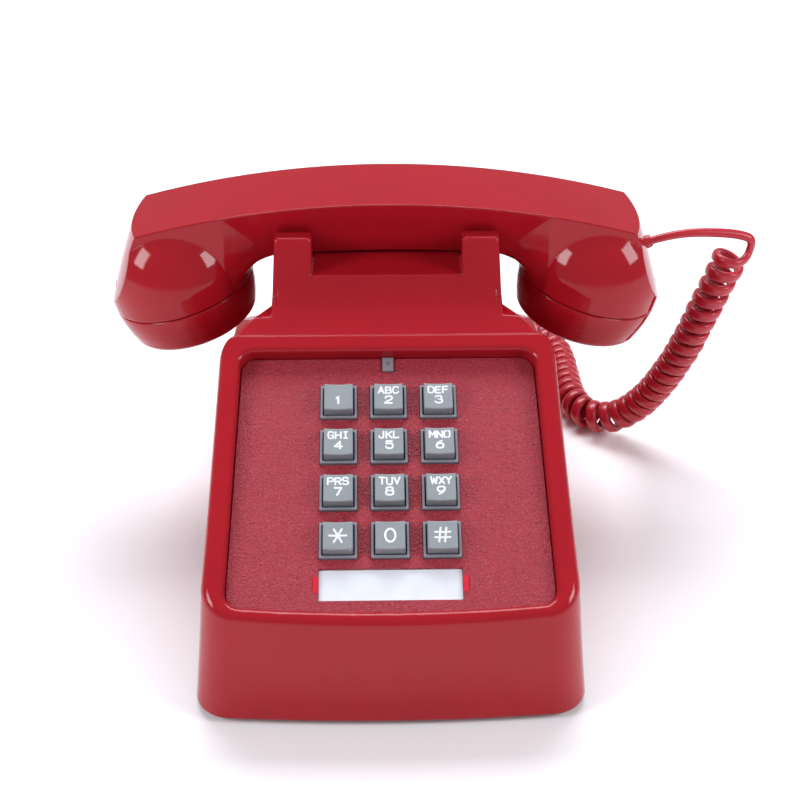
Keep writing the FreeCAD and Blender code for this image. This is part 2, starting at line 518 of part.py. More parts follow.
parts["line_jack"] = jack(JACK_X, 9.9, 6.9)
parts["handset_jack"] = jack(-JACK_X, 7.9, 6.9)
plug = box(-JACK_X - 3.8, -JACK_X + 3.8, 200.2, 212.6, JACK_Z - 3.3, JACK_Z + 3.3)
plug = plug.fuse(box(-JACK_X - 1.5, -JACK_X + 1.5, 201.5, 214.6, JACK_Z - 4.9, JACK_Z - 3.2))
parts["cord_plug"] = solid_of(plug.removeSplitter())

# ---------------- handset ----------------
def arch_z(x):
    return HS_TOP - (HS_R - math.sqrt(HS_R ** 2 - x * x))


def under_z(x):
    return HS_UNDER - (HS_UNDER_R - math.sqrt(HS_UNDER_R ** 2 - x * x))


YF, YR = CRADLE_Y - BACK_HALF, CRADLE_Y + BACK_HALF
ARCH_A = 21.0            # the handle's blank spans this angle each side of the middle
DRAFT = 0.27             # the handle's sides draw in by this much per millimetre below the back
ZB = 60.0


def arched(yz):
    """Turns a section in the YZ plane about the arch's axis."""
    f = Part.Face(poly_wire([(0, y, z) for y, z in yz]))
    f.rotate(V(0, 0, HS_TOP - HS_R), V(0, 1, 0), -ARCH_A)
    return f.revolve(V(0, 0, HS_TOP - HS_R), V(0, 1, 0), 2 * ARCH_A)


slab = arched([(YF, ZB), (YF, HS_TOP), (YR, HS_TOP), (YR, ZB)])
side = arched([(YF - 3, HS_TOP), (YF, HS_TOP), (YF + DRAFT * (HS_TOP - ZB), ZB), (YF - 3, ZB)])
side = side.common(prism_z([(-65, YF - 4), (-65, YF), (-45, YF + 6.4), (-45, YF + 30), (45, YF + 30), (45, YF + 6.4), (65, YF), (65, YF - 4)], 40, 160))
slab = slab.cut(side).cut(side.mirror(V(0, CRADLE_Y, 0), V(0, 1, 0)))
slab = solid_of(slab)
print("slab", slab.isValid(), round(slab.Volume), slab.BoundBox)
# the ends of the handset are blunt and slightly round in plan, and lean outwards down to the seams
END_X, END_R = 103.1, 60.0


def end_body(sx):
    x0 = END_X - END_R
    zt = arch_z(END_X)
    pts = [(END_R, zt), (109.3 - x0, 111.9), (113.9 - x0, 96.0)]
    w = Part.Wire([
        Part.LineSegment(V(0, 0, 155), V(END_R - 3.0, 0, 155)).toShape(),
        Part.LineSegment(V(END_R - 3.0, 0, 155), V(pts[0][0], 0, pts[0][1])).toShape(),
        Part.Arc(V(pts[0][0], 0, pts[0][1]), V(pts[1][0], 0, pts[1][1]), V(pts[2][0], 0, pts[2][1])).toShape(),
        Part.LineSegment(V(pts[2][0], 0, pts[2][1]), V(pts[2][0] - 0.4, 0, 60)).toShape(),
        Part.LineSegment(V(pts[2][0] - 0.4, 0, 60), V(0, 0, 60)).toShape(),
        Part.LineSegment(V(0, 0, 60), V(0, 0, 155)).toShape(),
    ])
    r = solid_of(Part.Face(w).revolve(V(0, 0, 0), V(0, 0, 1), 360))
    r.translate(V(sx * x0, CRADLE_Y, 0))
    return r.common(box(-1, 130, 90, 220, 50, 160) if sx > 0 else box(-130, 1, 90, 220, 50, 160))


outline = solid_of(end_body(1).fuse(end_body(-1)).fuse(box(-40, 40, 110, 204, 60, 155)))
arch_body = arched([(115, ZB), (115, HS_TOP), (199, HS_TOP), (199, ZB)])
slab = solid_of(slab.common(outline))
print("slab ends", slab.isValid(), round(slab.Volume))
# lower outline of the handle, curving down into the cups
LOW = [(44.0, under_z(44.0)), (49.0, 117.3), (53.5, 114.6), (57.5, 110.8), (60.5, 106.6), (62.0, 102.5)]
under = [V(-44.0, 90, under_z(44.0)), V(0, 90, HS_UNDER), V(44.0, 90, under_z(44.0))]
ue = [Part.Arc(*under).toShape()]
last = under[2]
rr_ = [V(44.0, 90, under_z(44.0)), V(54.6, 90, 113.2), V(61.0, 90, 102.5)]
ue.append(Part.Arc(*rr_).toShape())
ue.append(Part.LineSegment(V(61.0, 90, 102.5), V(75.0, 90, 102.5)).toShape())
ue.append(Part.LineSegment(V(75.0, 90, 102.5), V(90.0, 90, 113.0)).toShape())
ue.append(Part.LineSegment(V(90.0, 90, 113.0), V(125.0, 90, 113.0)).toShape())
ue.append(Part.LineSegment(V(125.0, 90, 113.0), V(125.0, 90, 160.0)).toShape())
ue.append(Part.LineSegment(V(125.0, 90, 160.0), V(-125.0, 90, 160.0)).toShape())
ue.append(Part.LineSegment(V(-125.0, 90, 160.0), V(-125.0, 90, 113.0)).toShape())
ue.append(Part.LineSegment(V(-125.0, 90, 113.0), V(-90.0, 90, 113.0)).toShape())
ue.append(Part.LineSegment(V(-90.0, 90, 113.0), V(-75.0, 90, 102.5)).toShape())
ue.append(Part.LineSegment(V(-75.0, 90, 102.5), V(-61.0, 90, 102.5)).toShape())
ue.append(Part.Arc(V(-61.0, 90, 102.5), V(-54.6, 90, 113.2), V(-44.0, 90, under_z(44.0))).toShape())
upper = Part.Face(Part.Wire(ue)).extrude(V(0, 130, 0))


def cup_place(shape, sx):
    """From the cup's own frame, with the seam at z 0 and the cap below it, to its place. sx is -1 for the left cup."""
    s = shape.copy()
    s.rotate(V(0, 0, 0), V(0, 1, 0), CUP_TILT * (1 if sx > 0 else -1))
    s.translate(V(sx * CUP_X, CRADLE_Y, CUP_Z))
    return s


def revolve_profile(edges):
    return Part.Face(Part.Wire(edges)).revolve(V(0, 0, 0), V(0, 0, 1), 360)


L = lambda a, b: Part.LineSegment(V(a[0], 0, a[1]), V(b[0], 0, b[1])).toShape()
ARC = lambda a, m, b: Part.Arc(V(a[0], 0, a[1]), V(m[0], 0, m[1]), V(b[0], 0, b[1])).toShape()
R = CUP_R
ang = math.radians(45)
DU = DOME_U
dome = solid_of(revolve_profile([
    ARC((0, DU + R), (R * math.sin(ang), DU + R * math.cos(ang)), (R, DU)),
    L((R, DU), (R - 0.05, 0.45)),
    L((R - 0.05, 0.45), (R - 0.55, 0)),
    L((R - 0.55, 0), (0, 0)),
    L((0, 0), (0, DU + R)),
]))
core = Part.makeCylinder(R - 0.02, 60, V(0, 0, 0))
shell = slab.common(upper)
print("handle", shell.isValid(), round(shell.Volume), len(shell.Solids))
E = [e for e in shell.Edges if abs(mid_of(e).z - 117) < 8.5 and abs(mid_of(e).x) < 56 and e.Length > 8 and abs(mid_of(e).y - CRADLE_Y) > 6]
shell = try_fillet(shell, E, 4.0, "handle underside")
for sx in (-1, 1):
    d = solid_of(cup_place(dome, sx))
    d1 = solid_of(d.common(arch_body))
    d2 = solid_of(d1.common(end_body(sx)))
    c1 = solid_of(cup_place(core, sx).common(slab))
    print("dome", round(d.Volume), round(d1.Volume), round(d2.Volume), "band", round(c1.Volume))
    shell = shell.fuse(c1)
    shell = solid_of(shell)
    v0 = shell.Volume
    shell = solid_of(shell.fuse(d2))
    print("  shell", round(v0), round(shell.Volume), shell.isValid())
# nothing of the handle below the seams
for sx in (-1, 1):
    below = cup_place(Part.makeCylinder(45, 60, V(0, 0, -60)), sx)
    shell = shell.cut(below)
shell = solid_of(shell.removeSplitter())
print("handset outer", shell.isValid(), round(shell.Volume), len(shell.Solids), len(shell.Edges))
E = []
for e in shell.Edges:
    m = mid_of(e)
    on = []
    for q in (0.15, 0.5, 0.85):
        p = e.valueAt(e.FirstParameter + q * (e.LastParameter - e.FirstParameter))
        cz = CUP_Z + DU * math.cos(math.radians(CUP_TILT))
        cx = CUP_X + DU * math.sin(math.radians(CUP_TILT))
        on.append(abs(math.sqrt((abs(p.x) - cx) ** 2 + (p.y - CRADLE_Y) ** 2 + (p.z - cz) ** 2) - R) < 0.25)
    if all(on) and e.Length > 6 and abs(m.y - CRADLE_Y) > 10 and m.z > 101:
        E.append(e)
print("dome edges", [(round(mid_of(e).x), round(mid_of(e).y), round(mid_of(e).z), round(e.Length)) for e in E])
shell = try_fillet(shell, E, 0.8, "dome to band")
# cavities for the capsules, and the wire duct between them
cav = solid_of(revolve_profile([L((0, 23), (15, 23)), L((15, 23), (26.4, 11)), L((26.4, 11), (26.4, -2)), L((26.4, -2), (0, -2)), L((0, -2), (0, 23))]))
for sx in (-1, 1):
    shell = shell.cut(cup_place(cav, sx))
    # threaded collar that the cap screws onto
    ring = Part.makeCylinder(28.0, 9.5, V(0, 0, -5.5)).cut(Part.makeCylinder(26.4, 14, V(0, 0, -8)))
    shell = shell.fuse(cup_place(solid_of(ring), sx))
shell = shell.cut(box(-72, 72, CRADLE_Y - 7, CRADLE_Y + 7, 122.6, 131.0).fuse(box(-75, -62, CRADLE_Y - 7, CRADLE_Y + 7, 108, 131)).fuse(box(62, 75, CRADLE_Y - 7, CRADLE_Y + 7, 108, 131)))
# cord hole in the right-hand cup
EXIT = V(107.6, 155.0, 117.4)
EXIT_DIR = V(0.94, 0.04, 0.33).normalize()
hole = Part.makeCylinder(2.6, 20, EXIT - EXIT_DIR * 14, EXIT_DIR)
shell = shell.cut(hole)
shell = solid_of(shell.removeSplitter())
print("handset shell", shell.isValid(), round(shell.Volume), len(shell.Solids))
parts["handset_shell"] = shell

CE = -CAP_LEN
for sx, nm in ((-1, "earpiece"), (1, "mouthpiece")):
    S = 0.0
    cap = revolve_profile([
        L((28.4, S - 0.25), (R - 0.55, S - 0.25)),
        L((R - 0.55, S - 0.25), (R - 0.1, S - 0.7)),
        ARC((R - 0.1, S - 0.7), (R - 0.9, -7.3), (27.3, CE + 3.8)),
        ARC((27.3, CE + 3.8), (25.9, CE + 1.1), (22.6, CE)),
        ARC((22.6, CE), (12.0, CE + 1.5), (0, CE + 2.0)),
        L((0, CE + 2.0), (0, CE + 4.4)),
        L((0, CE + 4.4), (24.6, CE + 4.4)),
        L((24.6, CE + 4.4), (28.4, CE + 9.0)),
        L((28.4, CE + 9.0), (28.4, S - 0.25)),
    ])
    cap = solid_of(cap)
    holes = [(0, 0)] + [(7.5 * math.cos(math.radians(60 * k)), 7.5 * math.sin(math.radians(60 * k))) for k in range(6)]
    if sx > 0:
        holes += [(14.5 * math.cos(math.radians(30 * k + 15)), 14.5 * math.sin(math.radians(30 * k + 15))) for k in range(12)]
    for hx, hy in holes:
        cap = cap.cut(Part.makeCylinder(1.15, 14, V(hx, hy, CE - 4)))
    parts[nm + "_cap"] = cup_place(solid_of(cap), sx)

rec = solid_of(Part.makeCylinder(23.6, 5.1, V(0, 0, -12.7)).fuse(Part.makeCylinder(17.0, 7.0, V(0, 0, -8.0))).removeSplitter())
parts["receiver_capsule"] = cup_place(rec, -1)
tr = solid_of(Part.makeCylinder(23.8, 3.1, V(0, 0, -12.7)).fuse(Part.makeCone(23.0, 16.0, 5.4, V(0, 0, -9.6))).removeSplitter())
parts["transmitter_capsule"] = cup_place(tr, 1)
tc = Part.makeCylinder(26.0, 9.5, V(0, 0, -5.3)).cut(Part.makeCylinder(24.6, 8.1, V(0, 0, -5.4)))
parts["transmitter_cup"] = cup_place(solid_of(tc.removeSplitter()), 1)
rr = Part.makeCylinder(26.1, 2.2, V(0, 0, -7.6)).cut(Part.makeCylinder(17.3, 4.0, V(0, 0, -8.4)))
parts["receiver_ring"] = cup_place(solid_of(rr), -1)
gr = Part.makeCone(2.9, 2.4, 2.4, EXIT - EXIT_DIR * 0.4, EXIT_DIR)
gr = gr.fuse(Part.makeCylinder(2.55, 5.0, EXIT - EXIT_DIR * 5.0, EXIT_DIR)).cut(Part.makeCylinder(WIRE_D / 2 + 0.02, 20, EXIT - EXIT_DIR * 10, EXIT_DIR))
gr = max(gr.removeSplitter().cut(shell).Solids, key=lambda s: s.Volume)
parts["handset_grommet"] = gr


# ---------------- cord ----------------
def tube(points, d, label):
    """A round tube on straight runs joined by tangent arcs."""
    P = [V(*p) for p in points]
    edges, last = [], P[0]
    radii = []
    for k in range(1, len(P) - 1):
        a, b, c = P[k - 1], P[k], P[k + 1]
        u, w = (a - b), (c - b)
        lu, lw = u.Length, w.Length
        u.normalize()
        w.normalize()
        turn = math.pi - u.getAngle(w)
        t = 0.45 * min(lu, lw)
        r = t / math.tan(turn / 2)
        radii.append((round(math.degrees(turn)), round(r / d, 1), round(min(lu, lw), 1)))
        p, q = b + u * t, b + w * t
        half = u.getAngle(w) / 2
        m = b + (u + w).normalize() * (r / math.sin(half) - r)
        edges.append(Part.LineSegment(last, p).toShape())
        edges.append(Part.Arc(p, m, q).toShape())
        last = q
    edges.append(Part.LineSegment(last, P[-1]).toShape())
    wire = Part.Wire(edges)
    d0 = (P[1] - P[0]).normalize()
    prof = Part.Wire([Part.makeCircle(d / 2, P[0], d0)])
    s = wire.makePipeShell([prof], True, False)
    s = solid_of(s)
    print(label, "valid", s.isValid(), "length", round(wire.Length, 1), "volume ratio", round(s.Volume / (wire.Length * math.pi * d * d / 4), 4), "radii (deg, diameters, run)", radii)
    return s


COIL_0 = V(146.0, 160.0, 111.0)
COIL_1 = V(141.3, 161.4, 94.0)
DIR_0 = (COIL_1 - COIL_0).normalize()
SIDE_0 = DIR_0.cross(V(0, 1, 0)).normalize()
JOIN = COIL_0 + SIDE_0 * (COIL_D / 2 - WIRE_D / 2)
print("coil start", COIL_0, "join", JOIN, "direction", DIR_0)
LEAD = [tuple(EXIT - EXIT_DIR * 5.0), tuple(EXIT + EXIT_DIR * 5.0), (124.0, 157.0, 120.4), (136.0, 158.6, 119.6), (146.5, 159.6, 118.2), tuple(JOIN - DIR_0 * 6.5), tuple(JOIN)]
COIL = [tuple(COIL_0), tuple(COIL_1), (136.4, 163.6, 75.5), (131.8, 167.0, 56.0), (125.0, 171.2, 36.5), (117.0, 175.6, 20.5), (106.8, 179.6, 10.2), (95.8, 184.6, 8.2), (89.6, 196.0, 8.1), (88.0, 212.0, 8.1), (88.2, 230.0, 8.1), (86.0, 247.4, 8.1), (73.8, 258.4, 8.1), (56.0, 259.5, 8.1), (36.0, 254.2, 8.1), (14.0, 249.4, 8.1), (-8.0, 248.9, 8.1)]
TAIL = [(-8.0, 248.9, 8.1), (-17.5, 248.7, 8.3), (-27.0, 246.2, 10.0), (-34.5, 239.5, 12.6), (-39.0, 230.5, 14.9), (-40.0, 221.5, 15.5), (-40.0, 212.6, 15.5)]
parts["cord_lead"] = tube(LEAD, WIRE_D, "lead")
parts["cord_coil"] = tube(COIL, COIL_D, "coil")
parts["cord_tail"] = tube(TAIL, WIRE_D, "tail")

bad = []
for name, shape in parts.items():
    s = shape.copy()
    s.translate(V(0, SHIFT_Y, 0))
    if not s.isValid():
        bad.append(name)
    s.exportStep("parts/%s.step" % name)
print("nodes", len(parts), "invalid", bad)
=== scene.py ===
import json
import math
import bpy
from mathutils import Matrix, Vector


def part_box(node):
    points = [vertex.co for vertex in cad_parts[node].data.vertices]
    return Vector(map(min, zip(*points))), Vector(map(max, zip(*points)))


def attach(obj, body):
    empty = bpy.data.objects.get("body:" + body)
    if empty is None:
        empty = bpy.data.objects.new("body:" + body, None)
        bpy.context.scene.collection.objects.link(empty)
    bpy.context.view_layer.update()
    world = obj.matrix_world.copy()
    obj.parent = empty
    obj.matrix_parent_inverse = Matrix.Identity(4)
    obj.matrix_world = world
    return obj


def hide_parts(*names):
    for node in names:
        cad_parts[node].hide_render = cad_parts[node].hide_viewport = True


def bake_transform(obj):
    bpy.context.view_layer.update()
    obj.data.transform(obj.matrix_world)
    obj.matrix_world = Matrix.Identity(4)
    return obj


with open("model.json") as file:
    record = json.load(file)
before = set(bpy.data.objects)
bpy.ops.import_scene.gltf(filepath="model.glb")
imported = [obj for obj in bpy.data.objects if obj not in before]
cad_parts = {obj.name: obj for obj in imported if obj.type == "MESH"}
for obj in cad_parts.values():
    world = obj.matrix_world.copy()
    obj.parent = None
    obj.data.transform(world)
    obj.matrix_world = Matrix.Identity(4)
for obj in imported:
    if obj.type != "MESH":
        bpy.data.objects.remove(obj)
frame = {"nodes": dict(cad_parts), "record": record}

scene = bpy.context.scene
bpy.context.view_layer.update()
nodes = frame["nodes"]
record = frame["record"]

# ------------------------------------------------------------------ camera
YAW, PITCH, ROLL = math.radians(1.1323), math.radians(34.9105), math.radians(0.1244)
fwd = Vector((math.sin(YAW) * math.cos(PITCH), math.cos(YAW) * math.cos(PITCH), -math.sin(PITCH)))
right = Vector((math.cos(YAW), -math.sin(YAW), 0.0))
up = right.cross(fwd)
right2 = right * math.cos(ROLL) + up * math.sin(ROLL)
up2 = -right * math.sin(ROLL) + up * math.cos(ROLL)
cam_data = bpy.data.cameras.new("camera")
cam_data.sensor_fit = "HORIZONTAL"
cam_data.sensor_width = 36.0
cam_data.lens = 63.863
cam_data.clip_start = 0.01
cam_data.clip_end = 60.0
cam = bpy.data.objects.new("camera", cam_data)
m = Matrix((right2, up2, -fwd)).transposed().to_4x4()
m.translation = Vector((-0.0043727, -0.4678991, 0.3989799))
cam.matrix_world = m
scene.collection.objects.link(cam)
scene.camera = cam


# ------------------------------------------------------------------ node helpers
class Mat:
    def __init__(self, name):
        self.m = bpy.data.materials.new(name)
        self.m.use_nodes = True
        self.t = self.m.node_tree
        self.b = self.t.nodes["Principled BSDF"]
        self.obj = self.t.nodes.new("ShaderNodeTexCoord").outputs["Object"]

    def set(self, **kw):
        for k, v in kw.items():
            name = {"color": "Base Color", "rough": "Roughness", "metal": "Metallic", "coat": "Coat Weight",
                    "coat_rough": "Coat Roughness", "ior": "IOR", "spec": "Specular IOR Level",
                    "trans": "Transmission Weight", "alpha": "Alpha", "sss": "Subsurface Weight",
                    "sheen": "Sheen Weight", "sheen_rough": "Sheen Roughness"}[k]
            if k == "color":
                v = (v[0], v[1], v[2], 1.0)
            self.b.inputs[name].default_value = v
        return self

    def noise(self, scale, detail=4.0, rough=0.55, stretch=None):
        n = self.t.nodes.new("ShaderNodeTexNoise")
        n.inputs["Scale"].default_value = scale
        n.inputs["Detail"].default_value = detail
        n.inputs["Roughness"].default_value = rough
        if stretch:
            mp = self.t.nodes.new("ShaderNodeMapping")
            mp.inputs["Scale"].default_value = stretch
            self.t.links.new(self.obj, mp.inputs["Vector"])
            self.t.links.new(mp.outputs["Vector"], n.inputs["Vector"])
        else:
            self.t.links.new(self.obj, n.inputs["Vector"])
        return n.outputs["Fac"]

    def voronoi(self, scale, feature="F1", smooth=None):
        n = self.t.nodes.new("ShaderNodeTexVoronoi")
        n.feature = feature
        n.inputs["Scale"].default_value = scale
        self.t.links.new(self.obj, n.inputs["Vector"])
        return n.outputs["Distance"]

    def remap(self, sock, a, b, lo=0.3, hi=0.7):
        n = self.t.nodes.new("ShaderNodeMapRange")
        n.inputs["From Min"].default_value = lo
        n.inputs["From Max"].default_value = hi
        n.inputs["To Min"].default_value = a
        n.inputs["To Max"].default_value = b
        self.t.links.new(sock, n.inputs["Value"])
        return n.outputs["Result"]

    def mixcol(self, fac, a, b):
        n = self.t.nodes.new("ShaderNodeMix")
        n.data_type = "RGBA"
        for s, c in ((n.inputs[6], a), (n.inputs[7], b)):
            if isinstance(c, (tuple, list)):
                s.default_value = (c[0], c[1], c[2], 1.0)
            else:
                self.t.links.new(c, s)
        self.t.links.new(fac, n.inputs[0])
        return n.outputs[2]

    def math(self, op, a, b):
        n = self.t.nodes.new("ShaderNodeMath")
        n.operation = op
        for s, v in ((n.inputs[0], a), (n.inputs[1], b)):
            if isinstance(v, (int, float)):
                s.default_value = v
            else:
                self.t.links.new(v, s)
        return n.outputs[0]

    def rough_from(self, sock, a, b, lo=0.3, hi=0.7):
        self.t.links.new(self.remap(sock, a, b, lo, hi), self.b.inputs["Roughness"])
        return self

    def color_from(self, fac, a, b):
        self.t.links.new(self.mixcol(fac, a, b), self.b.inputs["Base Color"])
        return self

    def bevel(self, radius):
        n = self.t.nodes.new("ShaderNodeBevel")
        n.samples = 6
        n.inputs["Radius"].default_value = radius
        return n.outputs["Normal"]

    def bump(self, layers, bevel=None):
        """layers of (height, strength, distance), one bump on the next."""
        prev = self.bevel(bevel) if bevel else None
        for sock, strength, dist in layers:
            n = self.t.nodes.new("ShaderNodeBump")
            n.inputs["Strength"].default_value = strength
            n.inputs["Distance"].default_value = dist
            self.t.links.new(sock, n.inputs["Height"])
            if prev is not None:
                self.t.links.new(prev, n.inputs["Normal"])
            prev = n.outputs["Normal"]
        if prev is not None:
            self.t.links.new(prev, self.b.inputs["Normal"])
        return self


RED = (0.385, 0.0072, 0.0150)
RED_DARK = (0.318, 0.0055, 0.0120)


def red_plastic(name, bevel, rough=(0.045, 0.095), coat=0.0, a=RED, b=RED_DARK):
    """Polished moulded ABS: faint moulding waves, fine handling marks and dull patches."""
    k = Mat(name).set(coat=coat, coat_rough=0.05, ior=1.5, spec=0.32)
    big = k.noise(38.0, 5.0, 0.6)
    fine = k.noise(900.0, 3.0, 0.6)
    dust = k.noise(2600.0, 2.0, 0.7)
    wave = k.noise(95.0, 2.0, 0.5)
    scratch = k.noise(240.0, 6.0, 0.75, stretch=(1.0, 9.0, 3.0))
    k.color_from(k.remap(big, 0.0, 0.55, 0.35, 0.75), a, b)
    r = k.math("ADD", k.remap(big, rough[0], rough[1]), k.remap(scratch, 0.0, 0.05, 0.55, 0.80))
    k.t.links.new(k.math("ADD", r, k.remap(dust, 0.0, 0.04, 0.56, 0.74)), k.b.inputs["Roughness"])
    k.bump([(wave, 0.05, 0.0003), (fine, 0.025, 0.0001), (scratch, 0.02, 0.00006)], bevel)
    return k.m


def pebble_plastic(name):
    """The keypad panel's moulded pebble grain: small raised cells, with pale specks painted on as highlight for light
    catching on their tops, and the grain's pits darkened as painted shade.
    """
    k = Mat(name).set(coat=0.0, ior=1.5, spec=0.45)
    cell = k.voronoi(1250.0, "SMOOTH_F1")
    cell2 = k.voronoi(2600.0, "F1")
    n = k.noise(1700.0, 5.0, 0.65)
    big = k.noise(45.0, 4.0, 0.6)
    peb = k.math("ADD", cell, k.math("MULTIPLY", cell2, 0.45))
    peb = k.math("ADD", peb, k.math("MULTIPLY", n, 0.6))
    base = k.mixcol(k.remap(big, 0.0, 0.6, 0.35, 0.75), (0.400, 0.0180, 0.0360), (0.350, 0.0140, 0.0290))
    # painted shade: the grain's cells go darker red in their pits
    pits_painted_shade = k.mixcol(k.remap(cell, 0.0, 0.75, 0.30, 0.75), base, (0.235, 0.0080, 0.0170))
    # painted highlight: pale pink specks stand in for light catching on the tops of the grain
    painted_highlight_specks = k.remap(k.noise(1350.0, 3.0, 0.8), 0.0, 0.55, 0.56, 0.70)
    k.color_from(painted_highlight_specks, pits_painted_shade, (0.640, 0.170, 0.215))
    k.rough_from(n, 0.30, 0.52)
    k.bump([(peb, 0.75, 0.0005), (n, 0.35, 0.0002)])
    return k.m


def satin_key(name, col=(0.285, 0.312, 0.330), bevel=0.0005, rough=(0.30, 0.42)):
    k = Mat(name).set(ior=1.5, coat=0.0)
    big = k.noise(160.0, 4.0, 0.6)
    fine = k.noise(2400.0, 4.0, 0.65)
    k.color_from(k.remap(big, 0.0, 1.0, 0.35, 0.7), col, tuple(c * 0.90 for c in col))
    r = k.math("ADD", k.remap(big, rough[0], rough[1]), k.remap(fine, 0.0, 0.08, 0.5, 0.75))
    k.t.links.new(r, k.b.inputs["Roughness"])
    k.bump([(fine, 0.10, 0.00008)], bevel)
    return k.m


def metal(name, col, dark, rough=(0.22, 0.42), brushed=True, bevel=0.0003):
    k = Mat(name).set(metal=1.0, ior=1.5)
    big = k.noise(70.0, 6.0, 0.65)
    fine = k.noise(700.0, 4.0, 0.6, stretch=(1.0, 14.0, 1.0) if brushed else None)
    k.color_from(k.remap(big, 0.0, 1.0, 0.4, 0.72), col, dark)
    k.t.links.new(k.math("ADD", k.remap(big, rough[0], rough[1]), k.remap(fine, 0.0, 0.08)), k.b.inputs["Roughness"])
    k.bump([(fine, 0.12, 0.0001)], bevel)
    return k.m


def matt(name, a, b, rough=(0.5, 0.75), scale=900.0, strength=0.25, dist=0.0002, bevel=0.0004, **kw):
    k = Mat(name).set(**kw)
    big = k.noise(60.0, 5.0, 0.6)
    fine = k.noise(scale, 5.0, 0.65)
    k.color_from(k.remap(big, 0.0, 1.0, 0.35, 0.7), a, b)
    k.rough_from(fine, rough[0], rough[1])
    k.bump([(fine, strength, dist)], bevel)
    return k.m


def paper(name):
    k = Mat(name).set(ior=1.45)
    fibre = k.noise(1600.0, 6.0, 0.7, stretch=(1.0, 3.0, 1.0))
    big = k.noise(90.0, 4.0, 0.6)
    k.color_from(k.remap(big, 0.0, 1.0, 0.35, 0.75), (0.865, 0.895, 0.960), (0.80, 0.825, 0.885))
    k.rough_from(fibre, 0.62, 0.80)
    k.bump([(fibre, 0.15, 0.00006)])
    return k.m


def clear_plastic(name):
    k = Mat(name).set(color=(0.98, 0.985, 0.99), trans=1.0, ior=1.2, alpha=0.22)
    n = k.noise(120.0, 5.0, 0.6)
    f = k.noise(1400.0, 3.0, 0.6, stretch=(6.0, 1.0, 1.0))
    k.rough_from(n, 0.05, 0.13)
    k.bump([(f, 0.05, 0.00006)], 0.0003)
    return k.m


def copper(name):
    k = Mat(name).set(metal=1.0)
    wind = k.noise(420.0, 2.0, 0.4, stretch=(12.0, 0.5, 0.5))
    big = k.noise(80.0, 5.0, 0.6)
    k.color_from(k.remap(wind, 0.0, 1.0), (0.60, 0.24, 0.10), (0.36, 0.11, 0.045))
    k.rough_from(big, 0.25, 0.45)
    k.bump([(wind, 0.5, 0.0003)])
    return k.m


cord_red = Mat("cord_red").set(ior=1.48, coat=0.12, coat_rough=0.2)
_big = cord_red.noise(70.0, 4.0, 0.6)
_fine = cord_red.noise(2200.0, 4.0, 0.65)
cord_red.color_from(cord_red.remap(_big, 0.0, 0.7, 0.35, 0.75), (0.470, 0.0125, 0.0270), (0.400, 0.0100, 0.0215))
cord_red.rough_from(_big, 0.24, 0.38)
cord_red.bump([(_fine, 0.10, 0.0001)])

MATS = {
    "red_gloss": red_plastic("red_gloss_plastic", 0.0011),
    "red_textured": pebble_plastic("red_pebble_plastic"),
    "red_plunger": red_plastic("red_plunger_plastic", 0.0006, rough=(0.2, 0.32), coat=0.15),
    "key_grey": satin_key("key_grey_plastic"),
    "grey_trim": satin_key("grey_trim_plastic", (0.27, 0.245, 0.27), 0.0005, (0.34, 0.46)),
    "grey_frame": satin_key("grey_frame_plastic", (0.250, 0.258, 0.290), 0.0004, (0.34, 0.5)),
    "card": paper("white_card"),
    "clear": clear_plastic("clear_plastic"),
    "silicone": matt("silicone_rubber", (0.33, 0.34, 0.35), (0.27, 0.28, 0.29), (0.5, 0.7)),
    "board": matt("circuit_board", (0.045, 0.13, 0.05), (0.030, 0.09, 0.035), (0.35, 0.55), 600.0),
    "black_plastic": matt("black_plastic", (0.014, 0.014, 0.015), (0.024, 0.024, 0.026), (0.32, 0.52), 1300.0, 0.18),
    "steel_plate": metal("plated_steel_plate", (0.52, 0.50, 0.44), (0.37, 0.35, 0.30), (0.34, 0.52), True),
    "steel": metal("bright_steel", (0.62, 0.62, 0.61), (0.45, 0.45, 0.44)),
    "rubber": matt("foot_rubber", (0.018, 0.018, 0.018), (0.035, 0.034, 0.033), (0.7, 0.9), 1500.0, 0.4, 0.0003),
    "gong_brass": metal("gong_brass", (0.72, 0.50, 0.20), (0.50, 0.32, 0.12), (0.16, 0.30), False),
    "copper": copper("copper_winding"),
    "aluminium": metal("aluminium_can", (0.70, 0.71, 0.72), (0.55, 0.56, 0.57), (0.28, 0.42)),
    "cord": cord_red.m,
}
slot_of = {s["node"]: s["material_slot"] for s in record["subparts"]}
for n, o in nodes.items():
    o.data.materials.clear()
    o.data.materials.append(MATS[slot_of[n]])


# ------------------------------------------------------------------ cord
def route(name, pts):
    """The smooth line of a NURBS route, as points."""
    cu = bpy.data.curves.new(name, "CURVE")
    cu.dimensions = "3D"
    cu.resolution_u = 32
    sp = cu.splines.new("NURBS")
    sp.points.add(len(pts) - 1)
    for i, p in enumerate(pts):
        sp.points[i].co = (p[0], p[1], p[2], 1.0)
    sp.order_u = 3
    sp.use_endpoint_u = True
    ob = bpy.data.objects.new(name, cu)
    scene.collection.objects.link(ob)
    me = bpy.data.meshes.new_from_object(ob)
    line = [Vector(v.co) for v in me.vertices]
    bpy.data.meshes.remove(me)
    bpy.data.objects.remove(ob)
    bpy.data.curves.remove(cu)
    return line


def resample(line, step):
    """Points at even distances along a line, with tangents."""
    d = [0.0]
    for a, b in zip(line, line[1:]):
        d.append(d[-1] + (b - a).length)
    total = d[-1]
    n = max(2, round(total / step))
    out, j = [], 0
    for i in range(n + 1):
        s = total * i / n
        while j < len(d) - 2 and d[j + 1] < s:
            j += 1
        t = (s - d[j]) / max(1e-9, d[j + 1] - d[j])
        out.append(line[j].lerp(line[j + 1], min(1.0, max(0.0, t))))
    return out, total


def tangents(p):
    t = []
    for i in range(len(p)):
        t.append((p[min(i + 1, len(p) - 1)] - p[max(i - 1, 0)]).normalized())
    return t


